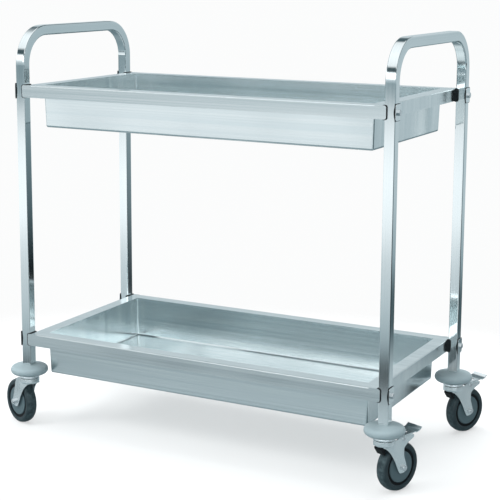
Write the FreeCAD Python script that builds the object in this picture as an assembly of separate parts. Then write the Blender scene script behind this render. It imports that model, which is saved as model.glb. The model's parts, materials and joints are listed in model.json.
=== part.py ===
import FreeCAD, Part
import math
import os

from FreeCAD import Vector

# Two-tier stainless steel serving cart.
# X runs along the cart, Y across it, Z up. The floor is Z = 0 and the origin is
# the middle of the floor under the cart. All lengths are millimetres.

# ---------------------------------------------------------------- driving sizes
TRAY_SPAN = 950.0            # clear length between the two end frames
FRAME_DEPTH = 482.0          # over the front and rear legs
HANDLE_TOP = 1020.0
TUBE = 25.0                  # square tube of the end frames
TUBE_WALL = 1.5
TUBE_CORNER = 3.0
BEND_OUTER = 95.0            # outside radius of the two bends of an end frame
LEG_END = 159.0              # cut end of the legs, inside the bumpers
INSERT_LENGTH = 40.0         # plug inside each leg end

UPPER_RIM_TOP = 877.0
LOWER_RIM_TOP = 248.0
RIM_HEIGHT = 30.0
RIM_WIDTH = 33.0
PAN_DEPTH = 105.0            # rim top to the underside of the pan
PAN_TAPER = 3.0
PAN_CORNER = 4.0
PAN_FLOOR_RADIUS = 4.0
SHEET = 1.0
HEM = 7.0                    # inward fold along the bottom of the rim
EAR_REACH = 5.0              # how far the rim laps over the front of a leg
EAR_CORNER = 4.5
SEAM_WIDTH = 0.7
SEAM_DEPTH = 0.4

SADDLE_WEB = 2.0
SADDLE_LIP = 1.5
SADDLE_WRAP = 7.5
SADDLE_MARGIN = 1.4          # how far a saddle shows round the end of the rim
GASKET_WEB = 1.2
GASKET_WRAP = 3.0            # reach of a gasket's lips at their middle
COVER_SHEET = 1.2
COVER_HEIGHT = 36.0

BOLT_RADIUS = 4.0
BOLT_CLEAR = 0.25            # radial clearance of the bolt holes
BOLT_HEX = 13.0
BOLT_HEAD = 5.3
NUT_THICKNESS = 6.5

WHEEL_RADIUS = 57.5
WHEEL_WIDTH = 28.0
TYRE_INNER = 43.0
CORE_HALF = 11.0             # half the width of the rim under the tyre
COVER_RADIUS = 36.0          # hub cover discs
TYRE_SHOULDER = 7.0
TYRE_CROWN = 1.2             # rise of the tread from its edges to its middle
TRAIL = 44.0                 # wheel centre behind the swivel axis
FORK_GAP = 35.0
FORK_SHEET = 2.5
FORK_FOLD = 17.0             # where the cheeks are folded in, behind the swivel axis
FOLD_ANGLE = 11.0
SLEEVE_RADIUS = 6.0

BUMPER_RADIUS = 47.0
BUMPER_MIDDLE = 151.0
BUMPER_HALF = 15.0
BUMPER_EDGE = 10.5           # radius of the bumper's rounded edge

STEM_RADIUS = 6.0
CUP_RADIUS = 24.5
DISH_RADIUS = 20.1           # inside of the fork's ball dish
DISH_DEPTH = 3.6
BALL_RADIUS = 2.9
BALL_PITCH = 17.0
BALL_COUNT = 12
RUN_GAP = 0.05               # radial clearance of every turning fit

PIN_X = 43.0                 # pedal pivot behind the swivel axis
PIN_Z = 125.0
PIN_RADIUS = 2.5
PEDAL_HALF = 16.8
TOE_HALF = 21.0
PEDAL_SHEET = 2.0
HOUSING_HALF = 10.5
PAD_GAP = 0.4                # left between pad and tyre when the pedal is down
PRESS_ANGLE = 10.0           # full travel of a brake pedal, degrees

# ---------------------------------------------------------------- worked out
LEG_X = TRAY_SPAN / 2 + TUBE / 2
LEG_Y = FRAME_DEPTH / 2 - TUBE / 2
LEG_INNER_X = TRAY_SPAN / 2
LEG_OUTER_X = LEG_INNER_X + TUBE
RIM_X = LEG_INNER_X - SADDLE_WEB
RIM_Y = FRAME_DEPTH / 2 + SADDLE_LIP + SHEET
CUP_TOP = BUMPER_MIDDLE - BUMPER_HALF + 0.8
CUP_BASE = CUP_TOP - 6.8
CROWN_TOP = CUP_BASE - 1.0
CROWN_BASE = 115.3
DISH_FLOOR = CROWN_BASE + DISH_DEPTH
AXLE_Z = WHEEL_RADIUS
FORK_OUTSIDE = FORK_GAP / 2 + FORK_SHEET
PIN_START = (PIN_X, -30.0, PIN_Z)

# Each corner: name, X side, Y side, direction its wheel trails in, brake fitted.
CORNERS = [
    ("front_left", -1, -1, 157.0, False),
    ("front_right", 1, -1, 69.0, True),
    ("rear_left", -1, 1, 118.0, False),
    ("rear_right", 1, 1, 66.0, True),
]

X_AXIS = Vector(1, 0, 0)
Y_AXIS = Vector(0, 1, 0)
Z_AXIS = Vector(0, 0, 1)


# ---------------------------------------------------------------- small helpers
def save(name, shape):
    shape.exportStep("parts/" + name + ".step")


def box(low, high):
    size = Vector(*high) - Vector(*low)
    return Part.makeBox(size.x, size.y, size.z, Vector(*low))


def cylinder(radius, start, direction, length):
    return Part.makeCylinder(radius, length, Vector(*start), direction)


def tube(outer, inner, start, direction, length):
    bore_start = Vector(*start) - direction
    bore = Part.makeCylinder(inner, length + 2, bore_start, direction)
    return cylinder(outer, start, direction, length).cut(bore)


def join(solids):
    shape = solids[0].fuse(solids[1:]) if len(solids) > 1 else solids[0]
    return shape.removeSplitter()


def group(solids):
    return Part.makeCompound(solids)


def rounded_rectangle(half_x, half_y, radius, z):
    """Closed wire of a rectangle with round corners, level at z."""
    edges = []
    centres = [(1, 1), (-1, 1), (-1, -1), (1, -1)]
    for index, (side_x, side_y) in enumerate(centres):
        centre = Vector(side_x * (half_x - radius), side_y * (half_y - radius), z)
        start = index * 90.0
        edges.append(Part.makeCircle(radius, centre, Z_AXIS, start, start + 90.0))
    wire_edges = []
    for index, arc in enumerate(edges):
        following = edges[(index + 1) % 4]
        wire_edges.append(arc)
        wire_edges.append(Part.makeLine(arc.lastVertex().Point, following.firstVertex().Point))
    return Part.Wire(wire_edges)


def rounded_block(half_x, half_y, radius, low_z, high_z):
    face = Part.Face(rounded_rectangle(half_x, half_y, radius, low_z))
    return face.extrude(Vector(0, 0, high_z - low_z))


def fillet_level(shape, z, radius):
    """Round every edge that lies level at height z."""
    edges = [e for e in shape.Edges
             if abs(e.BoundBox.ZMin - z) < 1e-4 and abs(e.BoundBox.ZMax - z) < 1e-4]
    return shape.makeFillet(radius, edges)


def corner_arc(before, here, after, radius):
    """Start, middle and end of the arc that rounds the corner at here."""
    if radius == 0:
        return here, here, here
    back = (before - here).normalize()
    ahead = (after - here).normalize()
    half_angle = back.getAngle(ahead) / 2
    run = radius / math.tan(half_angle)
    centre = here + (back + ahead).normalize() * (radius / math.sin(half_angle))
    middle = centre + (here - centre).normalize() * radius
    return here + back * run, middle, here + ahead * run


def outline(corners):
    """Closed wire in the XZ plane through corners (x, z) or (x, z, radius)."""
    points = [Vector(corner[0], 0, corner[1]) for corner in corners]
    count = len(corners)
    arcs = []
    for index, corner in enumerate(corners):
        radius = corner[2] if len(corner) > 2 else 0
        arcs.append(corner_arc(points[index - 1], points[index],
                               points[(index + 1) % count], radius))
    edges = []
    for index, (start, middle, end) in enumerate(arcs):
        if not start.isEqual(end, 1e-6):
            edges.append(Part.Arc(start, middle, end).toShape())
        following = arcs[(index + 1) % count][0]
        if not end.isEqual(following, 1e-6):
            edges.append(Part.makeLine(end, following))
    return Part.Wire(edges)


def upright_plate(corners, y, thickness):
    """Plate cut to an outline in the XZ plane; y is its lower face."""
    wire = outline(corners)
    wire.translate(Vector(0, y, 0))
    return Part.Face(wire).extrude(Vector(0, thickness, 0))


def hexagon(across_flats, start, direction, length):
    """Hexagonal prism standing on start, along direction, with chamfered corners."""
    corner = across_flats / math.sqrt(3.0)
    points = []
    for index in range(7):
        angle = math.radians(60.0 * index + 30.0)
        points.append(Vector(corner * math.cos(angle), corner * math.sin(angle), 0))
    prism = Part.Face(Part.makePolygon(points)).extrude(Vector(0, 0, length))
    slope = 0.5 * across_flats + length * 1.6
    cone = Part.makeCone(slope, 0.47 * across_flats, length)
    prism = prism.common(cone)
    prism.Placement = FreeCAD.Placement(Vector(*start), FreeCAD.Rotation(Z_AXIS, direction))
    return prism


def turned(wire):
    """Full turn about Z of a closed wire drawn in the XZ plane."""
    return Part.Face(wire).revolve(Vector(0, 0, 0), Z_AXIS, 360)


def at_corners(make, *more):
    """One solid per leg, made by make(x_side, y_side, ...)."""
    return [make(side_x, side_y, *more) for _, side_x, side_y, _, _ in CORNERS]


# ---------------------------------------------------------------- end frames
def square_profile(half, corner):
    """Tube section at the foot of the front leg, level at LEG_END."""
    wire = rounded_rectangle(half, half, corner, LEG_END)
    wire.translate(Vector(0, -LEG_Y, 0))
    return wire


def frame_path():
    """Centre line of an end frame: up, over and down again in the YZ plane."""
    radius = BEND_OUTER - TUBE / 2
    top = HANDLE_TOP - TUBE / 2
    bend_z = top - radius
    bend_y = LEG_Y - radius
    front_foot = Vector(0, -LEG_Y, LEG_END)
    front_bend = Vector(0, -LEG_Y, bend_z)
    front_top = Vector(0, -bend_y, top)
    rear_top = Vector(0, bend_y, top)
    rear_bend = Vector(0, LEG_Y, bend_z)
    rear_foot = Vector(0, LEG_Y, LEG_END)
    reach = radius * math.sin(math.radians(45))
    front_mid = Vector(0, -bend_y - reach, bend_z + reach)
    rear_mid = Vector(0, bend_y + reach, bend_z + reach)
    edges = [
        Part.makeLine(front_foot, front_bend),
        Part.Arc(front_bend, front_mid, front_top).toShape(),
        Part.makeLine(front_top, rear_top),
        Part.Arc(rear_top, rear_mid, rear_bend).toShape(),
        Part.makeLine(rear_bend, rear_foot),
    ]
    return Part.Wire(edges)


def end_frame(side):
    path = frame_path()
    outside = path.makePipeShell([square_profile(TUBE / 2, TUBE_CORNER)], True, False)
    inner_half = TUBE / 2 - TUBE_WALL
    inner_corner = TUBE_CORNER - TUBE_WALL
    inside = path.makePipeShell([square_profile(inner_half, inner_corner)], True, False)
    frame = outside.cut(inside)
    for rim_top in (UPPER_RIM_TOP, LOWER_RIM_TOP):
        for side_y in (-1, 1):
            start = (-TUBE, side_y * LEG_Y, rim_top - RIM_HEIGHT / 2)
            frame = frame.cut(cylinder(BOLT_RADIUS + BOLT_CLEAR, start, X_AXIS, 2 * TUBE))
    frame.translate(Vector(side * LEG_X, 0, 0))
    return frame


# ---------------------------------------------------------------- trays
def pan_solid(inset, top, base, corner, floor_radius):
    """Tapered pan, closed; inset is measured from the outside of the rim."""
    half_x = RIM_X - inset
    half_y = RIM_Y - inset
    upper = rounded_rectangle(half_x, half_y, corner, top)
    lower = rounded_rectangle(half_x - PAN_TAPER, half_y - PAN_TAPER, corner, base)
    pan = Part.makeLoft([lower, upper], True, True)
    return fillet_level(pan, base, floor_radius)


def ear(side_x, side_y, top):
    """End of the front or rear rim plate where it laps over a leg."""
    low_x = RIM_X - 20.0
    high_x = LEG_INNER_X + EAR_REACH
    base = top - RIM_HEIGHT
    plate = box((low_x, RIM_Y - SHEET, base), (high_x, RIM_Y, top))
    ends = [e for e in plate.Edges
            if abs(e.BoundBox.XMin - high_x) < 1e-4 and e.BoundBox.YLength > SHEET / 2
            and e.BoundBox.ZLength < 1e-4]
    plate = plate.makeFillet(EAR_CORNER, ends)
    if side_x < 0:
        plate = plate.mirror(Vector(0, 0, 0), X_AXIS)
    if side_y < 0:
        plate = plate.mirror(Vector(0, 0, 0), Y_AXIS)
    return plate


def mitre_seam(side_x, side_y, top):
    """Fine groove across a corner of the flange, where the sheet is joined."""
    length = RIM_WIDTH * math.sqrt(2.0) + 2.0
    groove = box((-length, -SEAM_WIDTH / 2, top - SEAM_DEPTH), (0, SEAM_WIDTH / 2, top + 1))
    angle = math.degrees(math.atan2(side_y, side_x))
    groove.rotate(Vector(0, 0, 0), Z_AXIS, angle)
    groove.translate(Vector(side_x * RIM_X, side_y * RIM_Y, 0))
    return groove


def tray(top):
    base = top - PAN_DEPTH
    rim_base = top - RIM_HEIGHT
    rim = rounded_block(RIM_X, RIM_Y, 2.5, rim_base, top)
    rim = fillet_level(rim, top, 2.2)
    under = rounded_block(RIM_X - SHEET, RIM_Y - SHEET, 1.3, rim_base - 1, top - SHEET)
    under = fillet_level(under, top - SHEET, 1.0)
    pan_outside = pan_solid(RIM_WIDTH, top - 0.5, base, PAN_CORNER + SHEET,
                            PAN_FLOOR_RADIUS + SHEET)
    pan_inside = pan_solid(RIM_WIDTH + SHEET, top, base + SHEET, PAN_CORNER,
                           PAN_FLOOR_RADIUS)
    hem_outer = rounded_block(RIM_X - 0.5, RIM_Y - 0.5, 2.0, rim_base, rim_base + SHEET)
    hem_inner = rounded_block(RIM_X - HEM, RIM_Y - HEM, 2.0, rim_base - 1, rim_base + 2)
    shell = rim.cut(under)
    shell = shell.fuse([pan_outside, hem_outer.cut(hem_inner)])
    shell = shell.cut(pan_inside)
    shell = shell.fuse([ear(x, y, top) for _, x, y, _, _ in CORNERS])
    for _, side_x, side_y, _, _ in CORNERS:
        shell = shell.cut(mitre_seam(side_x, side_y, top))
        start = (side_x * (RIM_X - 5), side_y * LEG_Y, top - RIM_HEIGHT / 2)
        shell = shell.cut(cylinder(BOLT_RADIUS + BOLT_CLEAR, start, X_AXIS * side_x, 10))
    return shell.removeSplitter()


# ---------------------------------------------------------------- tray fixings
def saddle(facing, start_x, side_y, top):
    """Moulded saddle: a web against one face of a leg and a lip along each edge.

    The web stands at start_x and the lips reach from it along X, towards facing.
    """
    low_z = top - RIM_HEIGHT - SADDLE_MARGIN
    high_z = top + SADDLE_MARGIN
    half_y = TUBE / 2 + SADDLE_LIP
    length = SADDLE_WEB + SADDLE_WRAP
    block = box((0, -half_y, low_z), (length, half_y, high_z))
    tips = [e for e in block.Edges
            if e.BoundBox.YLength > TUBE and e.BoundBox.XMin > length - 1e-4]
    block = block.makeFillet(EAR_CORNER + SADDLE_MARGIN / 2, tips)
    channel = box((SADDLE_WEB, -TUBE / 2, low_z - 1), (length + 1, TUBE / 2, high_z + 1))
    hole_start = (-1, 0, top - RIM_HEIGHT / 2)
    hole = cylinder(BOLT_RADIUS + BOLT_CLEAR, hole_start, X_AXIS, SADDLE_WEB + 2)
    part = block.cut([channel, hole])
    if facing < 0:
        part = part.mirror(Vector(0, 0, 0), X_AXIS)
    part.translate(Vector(start_x, side_y * LEG_Y, 0))
    return part


def tray_saddle(side_x, side_y, top):
    return saddle(side_x, side_x * RIM_X, side_y, top)


def leg_gasket(side_x, side_y, top):
    """Gasket on the outer face of a leg, with a crescent lip on the two next to it."""
    middle_z = top - RIM_HEIGHT / 2
    half_z = COVER_HEIGHT / 2 + 1.0
    half_y = TUBE / 2 + SADDLE_LIP
    straight = Part.makeLine(Vector(GASKET_WEB, -half_y, -half_z), Vector(GASKET_WEB, -half_y, half_z))
    curve = Part.Arc(Vector(GASKET_WEB, -half_y, half_z), Vector(-GASKET_WRAP, -half_y, 0),
                     Vector(GASKET_WEB, -half_y, -half_z)).toShape()
    block = Part.Face(Part.Wire([straight, curve])).extrude(Vector(0, 2 * half_y, 0))
    leg_room = box((-TUBE, -TUBE / 2, -COVER_HEIGHT), (0, TUBE / 2, COVER_HEIGHT))
    hole = cylinder(BOLT_RADIUS + BOLT_CLEAR, (-1, 0, 0), X_AXIS, GASKET_WEB + 2)
    part = block.cut([leg_room, hole])
    if side_x < 0:
        part = part.mirror(Vector(0, 0, 0), X_AXIS)
    part.translate(Vector(side_x * LEG_OUTER_X, side_y * LEG_Y, middle_z))
    return part


def cover_plate(side_x, side_y, top):
    """Steel plate over the gasket, under the bolt head."""
    half_y = TUBE / 2 + SADDLE_LIP - 0.5
    plate = box((0, -half_y, -COVER_HEIGHT / 2), (COVER_SHEET, half_y, COVER_HEIGHT / 2))
    corners = [e for e in plate.Edges if e.BoundBox.XLength > COVER_SHEET / 2]
    plate = plate.makeFillet(4.0, corners)
    outer = [e for e in plate.Edges if e.BoundBox.XMin > COVER_SHEET - 1e-4]
    plate = plate.makeFillet(0.5, outer)
    plate = plate.cut(cylinder(BOLT_RADIUS + BOLT_CLEAR, (-1, 0, 0), X_AXIS, COVER_SHEET + 2))
    if side_x < 0:
        plate = plate.mirror(Vector(0, 0, 0), X_AXIS)
    start_x = side_x * (LEG_OUTER_X + GASKET_WEB)
    plate.translate(Vector(start_x, side_y * LEG_Y, top - RIM_HEIGHT / 2))
    return plate


def tray_bolt(side_x, side_y, top):
    """Hexagon bolt through cover, gasket, leg, saddle and rim; its head is outside."""
    centre_z = top - RIM_HEIGHT / 2
    seat = LEG_OUTER_X + GASKET_WEB + COVER_SHEET
    outward = X_AXIS * side_x
    head = hexagon(BOLT_HEX, (side_x * seat, side_y * LEG_Y, centre_z), outward, BOLT_HEAD)
    tip = RIM_X - SHEET - NUT_THICKNESS - 2.0
    start = (side_x * tip, side_y * LEG_Y, centre_z)
    shank = cylinder(BOLT_RADIUS, start, outward, seat - tip + 1.0)
    return head.fuse(shank).removeSplitter()


def tray_nut(side_x, side_y, top):
    start_x = side_x * (RIM_X - SHEET)
    centre_z = top - RIM_HEIGHT / 2
    inward = X_AXIS * (-side_x)
    start = (start_x, side_y * LEG_Y, centre_z)
    nut = hexagon(BOLT_HEX, start, inward, NUT_THICKNESS)
    bore = cylinder(BOLT_RADIUS, (start_x + side_x, side_y * LEG_Y, centre_z), inward, 10)
    return nut.cut(bore)


# ---------------------------------------------------------------- feet
def leg_insert(side_x, side_y):
    """Square plug that closes the leg and takes the threaded caster stem."""
    flange = rounded_block(TUBE / 2, TUBE / 2, TUBE_CORNER, LEG_END - 2, LEG_END)
    half = TUBE / 2 - TUBE_WALL - 0.05
    plug = rounded_block(half, half, 1.4, LEG_END - 1, LEG_END + INSERT_LENGTH)
    insert = join([flange, plug])
    insert = insert.cut(cylinder(STEM_RADIUS, (0, 0, LEG_END - 5), Z_AXIS, INSERT_LENGTH + 10))
    insert.translate(Vector(side_x * LEG_X, side_y * LEG_Y, 0))
    return insert


def bumper_outline():
    """Right half of the bumper's section: two flat domes and a round edge."""
    edge_x = BUMPER_RADIUS - BUMPER_EDGE
    rise = BUMPER_HALF - BUMPER_EDGE
    drop = (edge_x ** 2 - rise ** 2) / (2 * rise)
    dome = drop + BUMPER_HALF
    lean = math.atan2(edge_x, drop)
    middle = Vector(dome * math.sin(lean / 2), 0, dome * math.cos(lean / 2) - drop)
    blend = Vector(dome * math.sin(lean), 0, dome * math.cos(lean) - drop)
    top = Vector(0, 0, BUMPER_HALF)
    rim = Vector(BUMPER_RADIUS, 0, 0)

    def below(point):
        return Vector(point.x, 0, -point.z)

    return Part.Wire([
        Part.Arc(top, middle, blend).toShape(),
        Part.Arc(blend, rim, below(blend)).toShape(),
        Part.Arc(below(blend), below(middle), below(top)).toShape(),
        Part.makeLine(below(top), top),
    ])


def bumper(side_x, side_y):
    """Soft grey disc bumper round the foot of a leg."""
    disc = turned(bumper_outline())
    disc.translate(Vector(0, 0, BUMPER_MIDDLE))
    below = box((-60, -60, 100), (60, 60, CUP_TOP))
    half = TUBE / 2 + 0.15
    socket = rounded_block(half, half, TUBE_CORNER, LEG_END - 2, BUMPER_MIDDLE + 30)
    bore = cylinder(STEM_RADIUS + 0.1, (0, 0, 100), Z_AXIS, 60)
    disc = disc.cut([below, socket, bore])
    disc.translate(Vector(side_x * LEG_X, side_y * LEG_Y, 0))
    return disc


# ---------------------------------------------------------------- casters
def place(shape, corner):
    """Turn a caster piece drawn along +X to its trail direction, under its leg."""
    _, side_x, side_y, heading, _ = corner
    placed = shape.copy()
    placed.rotate(Vector(0, 0, 0), Z_AXIS, heading)
    placed.translate(Vector(side_x * LEG_X, side_y * LEG_Y, 0))
    return placed


def caster_stem():
    """Threaded stem, upper ball cup and king pin, in one riveted piece."""
    cup = turned(outline([
        (0, CUP_TOP), (CUP_RADIUS, CUP_TOP, 3.5), (CUP_RADIUS, CUP_BASE, 0.8),
        (13.9, CUP_BASE), (13.9, DISH_FLOOR + 0.5), (0, DISH_FLOOR + 0.5),
    ]))
    pin_base = CROWN_BASE - 3.3
    stem_top = LEG_END + INSERT_LENGTH - 4
    stem = cylinder(STEM_RADIUS, (0, 0, pin_base), Z_AXIS, stem_top - pin_base)
    head = fillet_level(cylinder(9.0, (0, 0, pin_base), Z_AXIS, 3.0), pin_base, 1.2)
    return join([cup, stem, head])


def swivel_balls():
    """Ring of bearing balls between the upper cup and the fork's dish."""
    centre_z = DISH_FLOOR + BALL_RADIUS + 0.1
    balls = []
    for index in range(BALL_COUNT):
        angle = 2 * math.pi * index / BALL_COUNT
        centre = Vector(BALL_PITCH * math.cos(angle), BALL_PITCH * math.sin(angle), centre_z)
        balls.append(Part.makeSphere(BALL_RADIUS, centre))
    return group(balls)


def ball_dish():
    """Pressed dish that holds the balls, open towards the cup."""
    bore = STEM_RADIUS + RUN_GAP
    return turned(outline([
        (bore, CROWN_BASE), (CUP_RADIUS, CROWN_BASE, 5.5), (CUP_RADIUS, CROWN_TOP, 1.0),
        (DISH_RADIUS, CROWN_TOP), (DISH_RADIUS, DISH_FLOOR), (bore, DISH_FLOOR),
    ]))


def cheek_outline(brake):
    """Flat part of a fork cheek, behind the fold, with or without a brake ear."""
    front = [(FORK_FOLD, CROWN_TOP - 1.5), (FORK_FOLD, 75), (24, 60, 30)]
    boss = [(31.5, AXLE_Z - 11.5, 9), (54.5, AXLE_Z - 11.5, 11), (52.5, AXLE_Z + 8, 20)]
    if brake:
        ear = [(45, 85, 30), (45, 105, 10), (59, 115.5, 20), (77, 123, 3),
               (77, 129.7, 2), (26, 129.7, 4), (22, CROWN_TOP - 1.5)]
        return front + boss + ear
    shoulder = [(43.5, 93, 40), (37, 117, 8), (24, CROWN_TOP - 1.5, 3)]
    return front + boss + shoulder


def cheek_wing():
    """Part of a cheek in front of the fold, drawn flat."""
    return [(FORK_FOLD, CROWN_TOP - 1.5), (4, CROWN_TOP - 3, 8), (-14, 122, 3),
            (-15.5, 116.5, 2), (3, 100.5, 60), (FORK_FOLD, 75)]


def cheek(brake):
    inner = FORK_GAP / 2
    flat = upright_plate(cheek_outline(brake), inner, FORK_SHEET)
    wing = upright_plate(cheek_wing(), inner, FORK_SHEET)
    wing.rotate(Vector(FORK_FOLD, FORK_OUTSIDE, 0), Z_AXIS, FOLD_ANGLE)
    plate = flat.fuse(wing)
    plate = plate.cut(cylinder(BOLT_RADIUS, (TRAIL, 0, AXLE_Z), Y_AXIS, 40))
    if brake:
        plate = plate.cut(cylinder(PIN_RADIUS, PIN_START, Y_AXIS, 60))
    return plate


def fork(brake):
    """Pressed fork: ball dish, bridge and two cheeks."""
    bridge_half = FORK_GAP / 2 + 1
    bridge = box((-17, -bridge_half, CROWN_BASE), (20, bridge_half, CROWN_BASE + 2.5))
    bore = cylinder(STEM_RADIUS + RUN_GAP, (0, 0, CROWN_BASE - 5), Z_AXIS, 40)
    near = cheek(brake)
    far = near.mirror(Vector(0, 0, 0), Y_AXIS)
    hollow = cylinder(DISH_RADIUS, (0, 0, DISH_FLOOR), Z_AXIS, 30)
    cup_room = cylinder(CUP_RADIUS + 1.2, (0, 0, CROWN_TOP), Z_AXIS, 30)
    body = join([ball_dish(), bridge, near, far])
    return body.cut([bore, hollow, cup_room])


def axle_bolt():
    """Axle bolt and its nut, as two solids."""
    head = hexagon(BOLT_HEX, (TRAIL, -FORK_OUTSIDE, AXLE_Z), Y_AXIS * -1, BOLT_HEAD)
    shank_start = (TRAIL, -FORK_OUTSIDE - 1, AXLE_Z)
    shank = cylinder(BOLT_RADIUS, shank_start, Y_AXIS, 2 * FORK_OUTSIDE + 9)
    nut = hexagon(BOLT_HEX, (TRAIL, FORK_OUTSIDE, AXLE_Z), Y_AXIS, NUT_THICKNESS)
    nut = nut.cut(cylinder(BOLT_RADIUS, (TRAIL, FORK_OUTSIDE - 1, AXLE_Z), Y_AXIS, 10))
    return group([join([head, shank]), nut])


def axle_sleeve():
    """Steel sleeve clamped between the cheeks; the wheel turns on it."""
    start = (TRAIL, -FORK_GAP / 2, AXLE_Z)
    return tube(SLEEVE_RADIUS, BOLT_RADIUS, start, Y_AXIS, FORK_GAP)


def on_axle(wire):
    """Wheel piece: a section of radius and width, turned about the axle."""
    shape = turned(wire)
    shape.rotate(Vector(0, 0, 0), X_AXIS, 90)
    shape.translate(Vector(TRAIL, 0, AXLE_Z))
    return shape


def wheel_core():
    """Dark moulded wheel centre: hub, web and rim."""
    hub = FORK_GAP / 2 - 1.0
    bore = SLEEVE_RADIUS + RUN_GAP
    web = CORE_HALF - 0.1
    seat = COVER_RADIUS + 0.4
    return on_axle(outline([
        (bore, -hub), (9.5, -hub, 0.6), (9.5, -web), (seat, 1 - web), (seat + 0.6, -CORE_HALF),
        (TYRE_INNER, -CORE_HALF), (TYRE_INNER, CORE_HALF), (seat + 0.6, CORE_HALF),
        (seat, web - 1), (9.5, web), (9.5, hub, 0.6), (bore, hub),
    ]))


def hub_covers():
    """Grey cover discs, one each side of the wheel."""
    near = on_axle(outline([
        (9.8, CORE_HALF), (COVER_RADIUS, CORE_HALF - 0.9), (COVER_RADIUS, CORE_HALF + 1.8, 1.2),
        (14, CORE_HALF + 3.2, 3), (9.8, CORE_HALF + 3.2, 0.6),
    ]))
    far = near.mirror(Vector(TRAIL, 0, AXLE_Z), Y_AXIS)
    return group([near, far])


def tyre_outline():
    """Section of the tyre: round shoulders and a slightly domed tread."""
    half = WHEEL_WIDTH / 2
    edge = WHEEL_RADIUS - TYRE_CROWN
    wall = edge - TYRE_SHOULDER
    flat = half - TYRE_SHOULDER
    bulge = TYRE_SHOULDER * math.sin(math.radians(45))

    def at(radius, across):
        return Vector(radius, 0, across)

    return Part.Wire([
        Part.makeLine(at(TYRE_INNER, 1.5 - half), at(TYRE_INNER + 2.5, -half)),
        Part.makeLine(at(TYRE_INNER + 2.5, -half), at(wall, -half)),
        Part.Arc(at(wall, -half), at(wall + bulge, -flat - bulge), at(edge, -flat)).toShape(),
        Part.Arc(at(edge, -flat), at(WHEEL_RADIUS, 0), at(edge, flat)).toShape(),
        Part.Arc(at(edge, flat), at(wall + bulge, flat + bulge), at(wall, half)).toShape(),
        Part.makeLine(at(wall, half), at(TYRE_INNER + 2.5, half)),
        Part.makeLine(at(TYRE_INNER + 2.5, half), at(TYRE_INNER, half - 1.5)),
        Part.makeLine(at(TYRE_INNER, half - 1.5), at(TYRE_INNER, 1.5 - half)),
    ])


def tyre():
    """Rubber tyre, moulded on the wheel core."""
    return on_axle(tyre_outline())


# ---------------------------------------------------------------- brakes
def pedal_section():
    """Side view of the pedal plate: flat over the pin, curled up at the toe."""
    low = PIN_Z + 6.0
    under = [(36, low - 1.0), (61, low, 30), (80, low, 20), (95, low + 3.0, 14), (102, low + 9.0)]
    upper = [(101, low + 10.8), (93.5, low + 5.0, 12), (79, low + PEDAL_SHEET, 20),
             (61, low + PEDAL_SHEET, 30), (36, low + PEDAL_SHEET - 1.0)]
    return under + upper


def pedal_lug():
    """Side view of the ears that hang from the plate onto the pivot pin."""
    return [(35, PIN_Z + 6), (37, PIN_Z - 6, 5), (48, PIN_Z - 6, 6), (59, PIN_Z + 3, 8),
            (75, PIN_Z + 5), (75, PIN_Z + 7)]


def brake_pedal():
    """Pressed pedal: plate, wider toe and two lugs on the pivot pin."""
    plate = upright_plate(pedal_section(), -PEDAL_HALF, 2 * PEDAL_HALF)
    toe = box((84, -TOE_HALF, PIN_Z), (104, TOE_HALF, PIN_Z + 20))
    toe_plate = upright_plate(pedal_section(), -TOE_HALF, 2 * TOE_HALF).common(toe)
    window = cylinder(7.0, (66, 0, PIN_Z), Z_AXIS, 20)
    near = upright_plate(pedal_lug(), -PEDAL_HALF, PEDAL_SHEET)
    far = upright_plate(pedal_lug(), PEDAL_HALF - PEDAL_SHEET, PEDAL_SHEET)
    body = join([plate.fuse(toe_plate).cut(window), near, far])
    return body.cut(cylinder(PIN_RADIUS + RUN_GAP, PIN_START, Y_AXIS, 60))


def brake_pad():
    """Block under the pedal that is pressed onto the tyre."""
    block = box((51, -12, 104), (68, 12, PIN_Z + 5.4))
    wheel_room = cylinder(WHEEL_RADIUS + PAD_GAP, (TRAIL, -30, AXLE_Z), Y_AXIS, 60)
    wheel_room.rotate(Vector(PIN_X, 0, PIN_Z), Y_AXIS, -PRESS_ANGLE)
    return block.cut(wheel_room)


def pedal_pin():
    """Pivot pin of the pedal, riveted in the fork's ears."""
    pin = cylinder(PIN_RADIUS, (PIN_X, -FORK_OUTSIDE, PIN_Z), Y_AXIS, 2 * FORK_OUTSIDE)
    heads = []
    for side in (-1, 1):
        heads.append(cylinder(4.2, (PIN_X, side * FORK_OUTSIDE, PIN_Z), Y_AXIS * side, 1.4))
    return join([pin] + heads)


def brake_housing():
    """Black moulding between the cheeks, in front of the king pin."""
    section = [(-21, CROWN_BASE), (-10.5, CROWN_BASE), (-10.5, 110), (-7, 108), (-7, 97, 1.5),
               (-10.5, 96, 1.5), (-21, CROWN_BASE - 4, 2)]
    return upright_plate(section, -HOUSING_HALF, 2 * HOUSING_HALF)


# ---------------------------------------------------------------- write all nodes
def write_root():
    save("end_frame_left", end_frame(-1))
    save("end_frame_right", end_frame(1))
    for tier, top in (("upper", UPPER_RIM_TOP), ("lower", LOWER_RIM_TOP)):
        save(tier + "_tray", tray(top))
        save(tier + "_tray_saddles", group(at_corners(tray_saddle, top)))
        save(tier + "_leg_gaskets", group(at_corners(leg_gasket, top)))
        save(tier + "_cover_plates", group(at_corners(cover_plate, top)))
        save(tier + "_tray_bolts", group(at_corners(tray_bolt, top)))
        save(tier + "_tray_nuts", group(at_corners(tray_nut, top)))
    save("leg_inserts", group(at_corners(leg_insert)))
    for name, side_x, side_y, _, _ in CORNERS:
        save("bumper_" + name, bumper(side_x, side_y))


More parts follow.
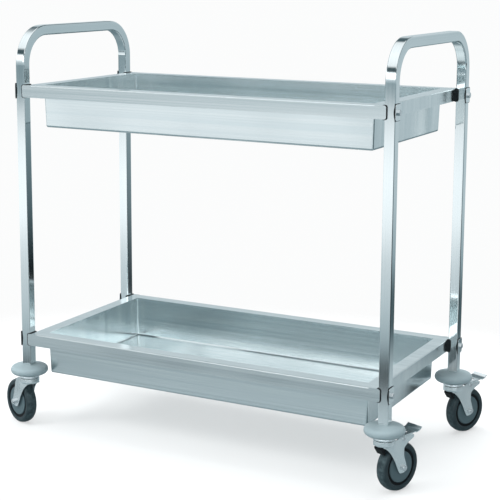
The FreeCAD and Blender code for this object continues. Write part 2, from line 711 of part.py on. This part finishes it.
def write_caster(corner):
    name, brake = corner[0], corner[4]
    pieces = {
        "caster_stem": caster_stem(),
        "swivel_balls": swivel_balls(),
        "fork": fork(brake),
        "axle_bolt": axle_bolt(),
        "axle_sleeve": axle_sleeve(),
        "wheel_core": wheel_core(),
        "hub_covers": hub_covers(),
        "tyre": tyre(),
    }
    if brake:
        pieces["brake_pedal"] = brake_pedal()
        pieces["brake_pad"] = brake_pad()
        pieces["pedal_pin"] = pedal_pin()
        pieces["brake_housing"] = brake_housing()
    for piece, shape in pieces.items():
        save(piece + "_" + name, place(shape, corner))


os.makedirs("parts", exist_ok=True)
write_root()
for each in CORNERS:
    write_caster(each)
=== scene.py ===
import json
import math

import bmesh
import bpy
from mathutils import Matrix, Vector


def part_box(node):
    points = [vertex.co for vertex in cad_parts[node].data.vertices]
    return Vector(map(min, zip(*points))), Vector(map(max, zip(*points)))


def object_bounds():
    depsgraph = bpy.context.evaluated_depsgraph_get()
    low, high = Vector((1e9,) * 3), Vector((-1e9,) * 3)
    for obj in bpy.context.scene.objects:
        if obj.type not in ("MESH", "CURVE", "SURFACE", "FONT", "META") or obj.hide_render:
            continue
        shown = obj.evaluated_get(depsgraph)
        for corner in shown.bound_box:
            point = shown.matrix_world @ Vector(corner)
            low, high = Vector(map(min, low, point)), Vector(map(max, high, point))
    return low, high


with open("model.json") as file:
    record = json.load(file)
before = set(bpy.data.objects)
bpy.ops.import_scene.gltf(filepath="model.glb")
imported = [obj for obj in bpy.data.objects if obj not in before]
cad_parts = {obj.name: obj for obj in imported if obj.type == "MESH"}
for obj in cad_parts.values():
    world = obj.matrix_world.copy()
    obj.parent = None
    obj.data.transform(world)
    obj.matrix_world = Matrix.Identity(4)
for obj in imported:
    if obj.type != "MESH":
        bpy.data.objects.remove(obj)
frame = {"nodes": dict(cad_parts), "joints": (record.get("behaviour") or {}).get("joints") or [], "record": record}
nodes = frame["nodes"]
cad_low, cad_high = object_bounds()

# ---------------------------------------------------------------- camera
CAMERA_PLACE = (1.578, -2.957, 1.175)
CAMERA_TURN = 0.4812         # radians about Z
CAMERA_DIP = 0.1712          # below level
CAMERA_ROLL = 0.0058
CAMERA_LENS = 98.66          # mm, on a 36 mm sensor
CAMERA_RISE = -0.10          # vertical shift
CAMERA_SLIDE = -0.006        # horizontal shift


def add_camera():
    """Camera in front of the cart and to its right, looking down at it."""
    data = bpy.data.cameras.new("camera")
    data.sensor_width = 36.0
    data.lens = CAMERA_LENS
    data.shift_x = CAMERA_SLIDE
    data.shift_y = CAMERA_RISE
    data.clip_end = 200.0
    camera = bpy.data.objects.new("camera", data)
    bpy.context.scene.collection.objects.link(camera)
    turn = Matrix.Rotation(CAMERA_TURN, 4, "Z")
    dip = Matrix.Rotation(math.pi / 2 - CAMERA_DIP, 4, "X")
    roll = Matrix.Rotation(CAMERA_ROLL, 4, "Z")
    camera.matrix_world = Matrix.Translation(CAMERA_PLACE) @ turn @ dip @ roll
    bpy.context.scene.camera = camera


# ---------------------------------------------------------------- node helpers
class Nodes:
    """Short calls for building one node tree."""

    def __init__(self, tree):
        self.tree = tree

    def add(self, kind, **settings):
        made = self.tree.nodes.new(kind)
        for name, value in settings.items():
            setattr(made, name, value)
        return made

    def set(self, socket, value):
        """Link a socket to value if value is a socket, or else set it."""
        if isinstance(value, bpy.types.NodeSocket):
            self.tree.links.new(value, socket)
        else:
            socket.default_value = value

    def math(self, operation, a, b=0.0):
        made = self.add("ShaderNodeMath", operation=operation)
        self.set(made.inputs[0], a)
        self.set(made.inputs[1], b)
        return made.outputs[0]

    def vector(self, operation, a, b=(0, 0, 0)):
        made = self.add("ShaderNodeVectorMath", operation=operation)
        self.set(made.inputs[0], a)
        self.set(made.inputs[1], b)
        return made.outputs["Value" if operation in ("DOT_PRODUCT", "LENGTH") else "Vector"]

    def place(self):
        """Position on the cart, in metres."""
        return self.add("ShaderNodeTexCoord").outputs["Object"]

    def split(self, vector):
        made = self.add("ShaderNodeSeparateXYZ")
        self.set(made.inputs[0], vector)
        return made.outputs

    def join(self, x, y, z):
        made = self.add("ShaderNodeCombineXYZ")
        for socket, value in zip(made.inputs, (x, y, z)):
            self.set(socket, value)
        return made.outputs[0]

    def stretch(self, vector, scale):
        return self.vector("MULTIPLY", vector, scale)

    def noise(self, vector, scale, detail=3.0, roughness=0.5):
        made = self.add("ShaderNodeTexNoise")
        self.set(made.inputs["Vector"], vector)
        made.inputs["Scale"].default_value = scale
        made.inputs["Detail"].default_value = detail
        made.inputs["Roughness"].default_value = roughness
        return made.outputs["Fac"]

    def remap(self, value, low, high, to_low=0.0, to_high=1.0, smooth=False):
        """Take low..high to to_low..to_high, and hold the ends outside that."""
        made = self.add("ShaderNodeMapRange", clamp=True)
        made.interpolation_type = "SMOOTHSTEP" if smooth else "LINEAR"
        for socket, item in zip(made.inputs, (value, low, high, to_low, to_high)):
            self.set(socket, item)
        return made.outputs[0]

    def mix(self, factor, a, b):
        made = self.add("ShaderNodeMix", data_type="RGBA")
        self.set(made.inputs[0], factor)
        for socket, value in ((made.inputs[6], a), (made.inputs[7], b)):
            self.set(socket, value if isinstance(value, bpy.types.NodeSocket) else (*value, 1.0))
        return made.outputs[2]

    def mix_vector(self, factor, a, b):
        made = self.add("ShaderNodeMix", data_type="VECTOR")
        self.set(made.inputs[0], factor)
        self.set(made.inputs[4], a)
        self.set(made.inputs[5], b)
        return made.outputs[1]

    def bump(self, height, distance, strength=1.0, normal=None):
        made = self.add("ShaderNodeBump")
        made.inputs["Strength"].default_value = strength
        made.inputs["Distance"].default_value = distance
        self.set(made.inputs["Height"], height)
        if normal is not None:
            self.set(made.inputs["Normal"], normal)
        return made.outputs[0]


def new_material(name, metallic=0.0, **sockets):
    """Material with a Principled shader, its node helper and the shader's sockets."""
    made = bpy.data.materials.new(name)
    made.use_nodes = True
    shader = made.node_tree.nodes["Principled BSDF"]
    shader.inputs["Metallic"].default_value = metallic
    for socket, value in sockets.items():
        shader.inputs[socket.replace("_", " ")].default_value = value
    return made, Nodes(made.node_tree), shader.inputs


# ---------------------------------------------------------------- metals
TUBE_BEND = 0.095            # from the outside of an end frame to where its bends start


def smudges(n, place):
    """Soft patches left by wiping, from 0 to 1."""
    cloudy = n.noise(place, 5.0, 1.0, 0.5)
    return n.remap(cloudy, 0.35, 0.75, smooth=True)


def edges(n, radius):
    """1 along folds and corners, 0 on the open faces."""
    rounded = n.add("ShaderNodeBevel", samples=6)
    rounded.inputs["Radius"].default_value = radius
    true = n.add("ShaderNodeNewGeometry").outputs["Normal"]
    return n.remap(n.vector("DOT_PRODUCT", rounded.outputs[0], true), 0.80, 0.99, 1.0, 0.0)


def brushed(n, place, facing_end, along, across, upward):
    """Streaks that run along the cart, and up its folded end walls; scales are per metre."""
    level = n.stretch(place, (along, across, across))
    upright = n.stretch(place, (along, across, upward))
    return n.noise(n.mix_vector(facing_end, level, upright), 1.0, 2.0)


def tray_steel():
    """Satin sheet: fine grain and broad streaks."""
    made, n, shader = new_material("tray_steel", 1.0)
    place = n.place()
    normal = n.add("ShaderNodeNewGeometry").outputs["True Normal"]
    facing_end = n.remap(n.math("ABSOLUTE", n.split(normal)[0]), 0.6, 0.8)
    grain = brushed(n, place, facing_end, 1.2, 300.0, 3.0)
    broad = brushed(n, place, facing_end, 0.9, 55.0, 2.0)
    wiped = smudges(n, place)
    streaks = n.math("ADD", n.math("MULTIPLY", grain, 0.45), n.math("MULTIPLY", broad, 0.55))
    tone = n.mix(n.remap(streaks, 0.36, 0.64), (0.60, 0.665, 0.68), (0.745, 0.79, 0.795))
    # Painted highlight: folds and corners are lightened towards pale steel.
    with_edge_highlight = n.mix(n.math("MULTIPLY", edges(n, 0.0025), 0.55), tone, (0.86, 0.88, 0.88))
    n.set(shader["Base Color"], n.mix(n.math("MULTIPLY", wiped, 0.20), with_edge_highlight, (0.62, 0.675, 0.69)))
    rough = n.math("ADD", n.remap(streaks, 0.3, 0.7, 0.145, 0.195),
                   n.math("MULTIPLY", wiped, 0.03))
    n.set(shader["Roughness"], rough)
    n.set(shader["Normal"], n.bump(grain, 0.00001, 0.4))
    return made


def tube_steel():
    """Polished tube: faint draw lines that follow it round the bends."""
    made, n, shader = new_material("tube_steel", 1.0)
    place = n.place()
    x, y, z = n.split(place)
    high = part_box("end_frame_left")[1]
    out_y = n.math("MAXIMUM", n.math("SUBTRACT", n.math("ABSOLUTE", y), high.y - TUBE_BEND), 0.0)
    out_z = n.math("MAXIMUM", n.math("SUBTRACT", z, high.z - TUBE_BEND), 0.0)
    across = n.vector("LENGTH", n.join(out_y, out_z, 0.0))
    run = n.math("ADD", n.math("ABSOLUTE", y), z)
    lines = n.noise(n.join(n.math("MULTIPLY", x, 420.0), n.math("MULTIPLY", across, 420.0),
                           n.math("MULTIPLY", run, 2.0)), 1.0, 3.0, 0.55)
    wiped = smudges(n, place)
    tone = n.mix(n.remap(lines, 0.3, 0.7), (0.655, 0.71, 0.72), (0.735, 0.78, 0.79))
    # Painted highlight: edges are lightened towards pale steel.
    with_edge_highlight = n.mix(n.math("MULTIPLY", edges(n, 0.002), 0.5), tone, (0.86, 0.88, 0.88))
    n.set(shader["Base Color"], n.mix(n.math("MULTIPLY", wiped, 0.2), with_edge_highlight, (0.60, 0.66, 0.68)))
    rough = n.math("ADD", n.remap(lines, 0.3, 0.7, 0.06, 0.09), n.math("MULTIPLY", wiped, 0.03))
    n.set(shader["Roughness"], rough)
    n.set(shader["Normal"], n.bump(lines, 0.00001, 0.4))
    return made


def zinc():
    """Bright zinc plate on pressed steel, a little cloudy."""
    made, n, shader = new_material("zinc", 1.0)
    place = n.place()
    cloud = n.noise(place, 30.0, 2.0, 0.5)
    tone = n.mix(n.remap(cloud, 0.35, 0.65), (0.70, 0.76, 0.775), (0.77, 0.82, 0.83))
    # Painted highlight: pressed edges are lightened towards pale zinc.
    with_edge_highlight = n.mix(n.math("MULTIPLY", edges(n, 0.0006), 0.3), tone, (0.80, 0.84, 0.85))
    n.set(shader["Base Color"], with_edge_highlight)
    n.set(shader["Roughness"], n.remap(cloud, 0.3, 0.7, 0.19, 0.24))
    n.set(shader["Normal"], n.bump(n.noise(place, 90.0, 2.0), 0.00004, 0.3))
    return made


def bolt_plate():
    """Plated bolts and nuts with light turning marks."""
    made, n, shader = new_material("bolt_plate", 1.0)
    place = n.place()
    cloud = n.noise(place, 160.0, 3.0)
    n.set(shader["Base Color"], n.mix(cloud, (0.50, 0.53, 0.55), (0.72, 0.75, 0.76)))
    n.set(shader["Roughness"], n.remap(cloud, 0.3, 0.7, 0.14, 0.30))
    n.set(shader["Normal"], n.bump(n.noise(place, 700.0, 2.0), 0.00004, 0.5))
    return made


# ---------------------------------------------------------------- plastics and rubber
TREAD = (0.053, 0.0565)      # distance from the axle where the tread sets in, and is full
TYRE_RINGS = (0.0448, 0.0472)
HUB_RINGS = (0.0165, 0.0335)
MIDDLE = (0.0,)


def moulded(name, base, wear_and_highlight_colour, rough, shine=0.35, rings=None):
    """Moulded plastic: fine spark texture, slight mottling, scuffs, and painted highlight along the edges.

    rings is (centre, axis, radii in metres) of raised rings round an axle.
    """
    made, n, shader = new_material(name, Specular_IOR_Level=shine)
    place = n.place()
    mottle = n.noise(place, 40.0, 4.0, 0.6)
    spark = n.noise(place, 1500.0, 2.0)
    scuff = n.remap(n.noise(n.stretch(place, (1.0, 1.0, 0.35)), 120.0, 5.0, 0.7), 0.60, 0.75)
    # Scuffs are wear; the paler edges are painted highlight.
    with_edge_highlight = n.math("MAXIMUM", n.math("MULTIPLY", scuff, 0.30),
                    n.math("MULTIPLY", edges(n, 0.0015), 0.6))
    tone = n.mix(n.math("MULTIPLY", mottle, 0.35), base, wear_and_highlight_colour)
    n.set(shader["Base Color"], n.mix(with_edge_highlight, tone, wear_and_highlight_colour))
    n.set(shader["Roughness"], n.remap(mottle, 0.3, 0.7, rough - 0.05, rough + 0.07))
    raised = None
    if rings:
        centre, axis, radii = rings
        raised = n.bump(ridges(n, from_axle(n, place, centre, axis)[1], radii), 0.0004)
    n.set(shader["Normal"], n.bump(spark, 0.00004, 0.5, raised))
    return made


def from_axle(n, place, centre, axis):
    """Distance along an axle from its middle, and distance from its line."""
    offset = n.vector("SUBTRACT", place, centre)
    along = n.vector("DOT_PRODUCT", offset, axis)
    on_line = n.vector("MULTIPLY", n.join(along, along, along), axis)
    return along, n.vector("LENGTH", n.vector("SUBTRACT", offset, on_line))


def ridges(n, distance, places, width=0.0007):
    """Height of narrow raised lines at the given distances."""
    height = 0.0
    for place in places:
        off = n.math("ABSOLUTE", n.math("SUBTRACT", distance, place))
        height = n.math("ADD", height, n.remap(off, 0.0, width, 1.0, 0.0, smooth=True))
    return height


def tyre_rubber(name, centre, axis):
    """Grey-black rubber: moulded rings on the side walls, a parting line and a dusty tread."""
    made, n, shader = new_material("rubber_" + name, Specular_IOR_Level=0.3)
    place = n.place()
    along, radius = from_axle(n, place, centre, axis)
    patchy = n.noise(place, 70.0, 5.0, 0.65)
    tread = n.remap(radius, *TREAD)
    dust = n.math("MULTIPLY", n.remap(patchy, 0.40, 0.75), n.remap(tread, 0.0, 1.0, 0.15, 0.8))
    fine = n.noise(place, 900.0, 2.0)
    n.set(shader["Base Color"], n.mix(dust, (0.013, 0.026, 0.031), (0.085, 0.125, 0.135)))
    n.set(shader["Roughness"], n.remap(dust, 0.0, 1.0, 0.46, 0.68))
    lines = n.math("ADD", ridges(n, radius, TYRE_RINGS), ridges(n, along, MIDDLE))
    n.set(shader["Normal"], n.bump(fine, 0.00012, 0.5, n.bump(lines, 0.0004)))
    return made


def paint(names, material):
    """Give every material slot of the named nodes one material."""
    for name in names:
        for holder in nodes[name].material_slots:
            holder.material = material


def paint_wheels():
    """Tyres, hub covers and brake pads, with their rings about each axle."""
    for joint in frame["joints"]:
        kind, corner = joint["name"].split("_", 1)
        if kind == "spin":
            centre, axis = tuple(joint["pos_m"]), tuple(joint["axis"])
            hub = moulded("hub_" + corner, (0.058, 0.095, 0.108), (0.105, 0.150, 0.165), 0.42,
                          rings=(centre, axis, HUB_RINGS))
            rubber = tyre_rubber(corner, centre, axis)
            paint(["hub_covers_" + corner], hub)
            paint([name for name in ("tyre_" + corner, "brake_pad_" + corner) if name in nodes],
                  rubber)


def paint_all():
    """Paint each node by the record's slot; trays and tubes differ in grain."""
    slot_of = {part["node"]: part["material_slot"] for part in frame["record"]["subparts"]}
    kinds = {
        "saddle_plastic": moulded("saddle_black", (0.006, 0.009, 0.010), (0.022, 0.027, 0.03),
                                  0.42, 0.15),
        "bolt_steel": bolt_plate(),
        "insert_plastic": moulded("insert_black", (0.015, 0.016, 0.017), (0.05, 0.05, 0.05), 0.5),
        "bumper_grey": moulded("bumper_grey", (0.255, 0.325, 0.345), (0.38, 0.45, 0.47), 0.40),
        "caster_zinc": zinc(),
        "core_black": moulded("core_black", (0.003, 0.004, 0.005), (0.010, 0.013, 0.015),
                              0.40, 0.10),
    }
    sheet = tray_steel()
    pipe = tube_steel()
    for name, slot_name in slot_of.items():
        if slot_name == "stainless":
            paint([name], sheet if name.endswith("tray") else pipe)
        elif slot_name in kinds:
            paint([name], kinds[slot_name])
    paint_wheels()


# ---------------------------------------------------------------- studio
FLOOR_RADIUS = 2.6
FLOOR_GAP = 0.0005           # below the lowest point of the tyres
FLOOR_MIDDLE = (0.15, 0.20, 0.0)
FLOOR_SPREAD = (0.66, 0.95, 0.0)
FLOOR_FADE = (0.50, 1.05)    # reach from the middle where the floor starts to fade, and is gone
FLOOR_COVER = 0.48           # how much of the floor shows before it fades
FLOOR_MIRRORED = 0.35        # share of that in reflections


def add_floor():
    """Pale floor round the cart that fades out into the backdrop."""
    mesh = bpy.data.meshes.new("floor")
    shape = bmesh.new()
    bmesh.ops.create_circle(shape, cap_ends=True, segments=96, radius=FLOOR_RADIUS)
    shape.to_mesh(mesh)
    shape.free()
    floor = bpy.data.objects.new("floor", mesh)
    floor.location.z = cad_low.z - FLOOR_GAP
    bpy.context.scene.collection.objects.link(floor)
    made, n, shader = new_material("floor", Roughness=0.9)
    place = n.place()
    n.set(shader["Base Color"], n.mix(n.noise(place, 0.6, 2.0), (0.94, 0.945, 0.945),
                                      (0.96, 0.965, 0.965)))
    reach = n.vector("LENGTH", n.stretch(n.vector("SUBTRACT", place, FLOOR_MIDDLE), FLOOR_SPREAD))
    cover = n.remap(reach, *FLOOR_FADE, FLOOR_COVER, 0.0, smooth=True)
    seen = n.add("ShaderNodeLightPath").outputs["Is Camera Ray"]
    n.set(shader["Alpha"], n.math("MULTIPLY", cover, n.remap(seen, 0.0, 1.0, FLOOR_MIRRORED, 1.0)))
    mesh.materials.append(made)


def add_softbox(name, place, target, width, height, power):
    """Area lamp that lights the cart but isn't mirrored in it."""
    data = bpy.data.lights.new(name, "AREA")
    data.shape = "RECTANGLE"
    data.size = width
    data.size_y = height
    data.energy = power
    lamp = bpy.data.objects.new(name, data)
    lamp.location = place
    lamp.rotation_euler = (Vector(target) - Vector(place)).to_track_quat("-Z", "Y").to_euler()
    lamp.visible_camera = False
    lamp.visible_glossy = False
    bpy.context.scene.collection.objects.link(lamp)


# What the steel mirrors: (height, brightness), where height is the rise of the mirrored
# direction, from -1 straight down to 1 straight up. FRONT is the room before the cart,
# BACK the room behind it, and SIDE the part of that to the right.
FRONT_LIGHT = [
    (-1.0, 0.30), (-0.45, 0.45), (-0.36, 0.46), (-0.32, 0.72), (-0.307, 0.70), (-0.303, 0.0),
    (-0.284, 0.0), (-0.276, 0.50), (-0.242, 0.74), (-0.213, 0.85), (-0.18, 1.35), (-0.15, 1.35),
    (-0.12, 1.20), (-0.105, 1.05), (-0.098, 0.46), (-0.085, 0.36), (-0.04, 0.38),
    (0.04, 0.65), (0.12, 1.2), (0.17, 1.8), (0.32, 1.8),
    (0.40, 0.12), (0.52, 0.12), (0.60, 1.2), (0.90, 1.4), (1.0, 1.2),
]
BACK_LIGHT = [
    (-1.0, 0.25), (-0.45, 0.25), (-0.36, 0.22), (-0.33, 0.35), (-0.29, 0.42), (-0.26, 0.12),
    (-0.235, 0.12), (-0.21, 0.45), (-0.17, 0.66), (-0.10, 0.70), (0.0, 0.60), (0.10, 0.70),
    (0.35, 0.80), (0.55, 0.15), (0.74, 0.15), (0.82, 1.1), (1.0, 1.2),
]
SIDE_LIGHT = [
    (-1.0, 0.30), (-0.45, 0.45), (-0.33, 0.45), (-0.29, 0.20), (-0.26, 0.02), (-0.235, 0.0),
    (-0.21, 0.02), (-0.17, 0.17), (-0.12, 0.30), (-0.06, 0.62), (0.10, 0.70), (0.35, 0.80),
    (0.55, 0.15), (0.74, 0.15), (0.82, 1.1), (1.0, 1.2),
]
REARWARD = (0.46, 0.887, 0.0)    # the way from the front of the room to its back
FRONT_TO_BACK = (-0.35, 0.35)    # along REARWARD
BACK_TO_SIDE = (0.40, 0.58)      # along X
WINDOW = (3.1, 3.2, 3.25)        # bright panel in front, above the horizon
WINDOW_BOTTOM = (0.06, 0.14)
WINDOW_TOP = (0.30, 0.36)
WINDOW_EDGE = (-0.54, -0.34)     # along X; the panel lies to the right of this
BACKDROP = (0.97, 0.975, 0.975)


def studio_colour(level):
    """Bright parts are neutral and dark parts turn to a cool teal."""
    share = min(level, 1.0)
    return (level * (0.62 + 0.35 * share), level, level * (1.14 - 0.12 * share), 1.0)


def light_ramp(n, height, stops):
    """Colour of the room at a height, from a list of (height, brightness)."""
    ramp = n.add("ShaderNodeValToRGB")
    elements = ramp.color_ramp.elements
    while len(elements) < len(stops):
        elements.new(0.5)
    for element, (stop, level) in zip(elements, stops):
        element.position = (stop + 1.0) / 2.0
        element.color = studio_colour(level)
    n.set(ramp.inputs[0], n.remap(height, -1.0, 1.0))
    return ramp.outputs["Color"]


def window_cover(n, x, height):
    """1 where the bright panel is, 0 elsewhere."""
    tall = n.math("MULTIPLY", n.remap(height, *WINDOW_BOTTOM, smooth=True),
                  n.remap(height, *WINDOW_TOP, 1.0, 0.0, smooth=True))
    return n.math("MULTIPLY", tall, n.remap(x, *WINDOW_EDGE, smooth=True))


def add_world():
    """Painted room that the steel mirrors; the camera itself sees a plain pale backdrop."""
    world = bpy.data.worlds.new("studio")
    world.use_nodes = True
    bpy.context.scene.world = world
    n = Nodes(world.node_tree)
    direction = n.add("ShaderNodeTexCoord").outputs["Generated"]
    x, _, height = n.split(direction)
    front = n.mix(window_cover(n, x, height), light_ramp(n, height, FRONT_LIGHT), WINDOW)
    behind = n.mix(n.remap(x, *BACK_TO_SIDE, smooth=True), light_ramp(n, height, BACK_LIGHT),
                   light_ramp(n, height, SIDE_LIGHT))
    facing = n.vector("DOT_PRODUCT", direction, REARWARD)
    around = n.mix(n.remap(facing, *FRONT_TO_BACK, smooth=True), front, behind)
    seen = n.add("ShaderNodeLightPath").outputs["Is Camera Ray"]
    background = world.node_tree.nodes["Background"]
    n.set(background.inputs["Color"], n.mix(seen, around, BACKDROP))
    background.inputs["Strength"].default_value = 1.0


def add_studio():
    """Room, floor and two soft lamps."""
    bpy.context.scene.view_settings.view_transform = "Standard"
    add_world()
    add_floor()
    add_softbox("key", (-2.2, -2.6, 2.8), (0, 0, 0.4), 2.0, 1.6, 90.0)
    add_softbox("top", (0.0, 0.6, 3.2), (0, 0, 0.4), 2.8, 2.2, 90.0)


add_camera()
paint_all()
add_studio()
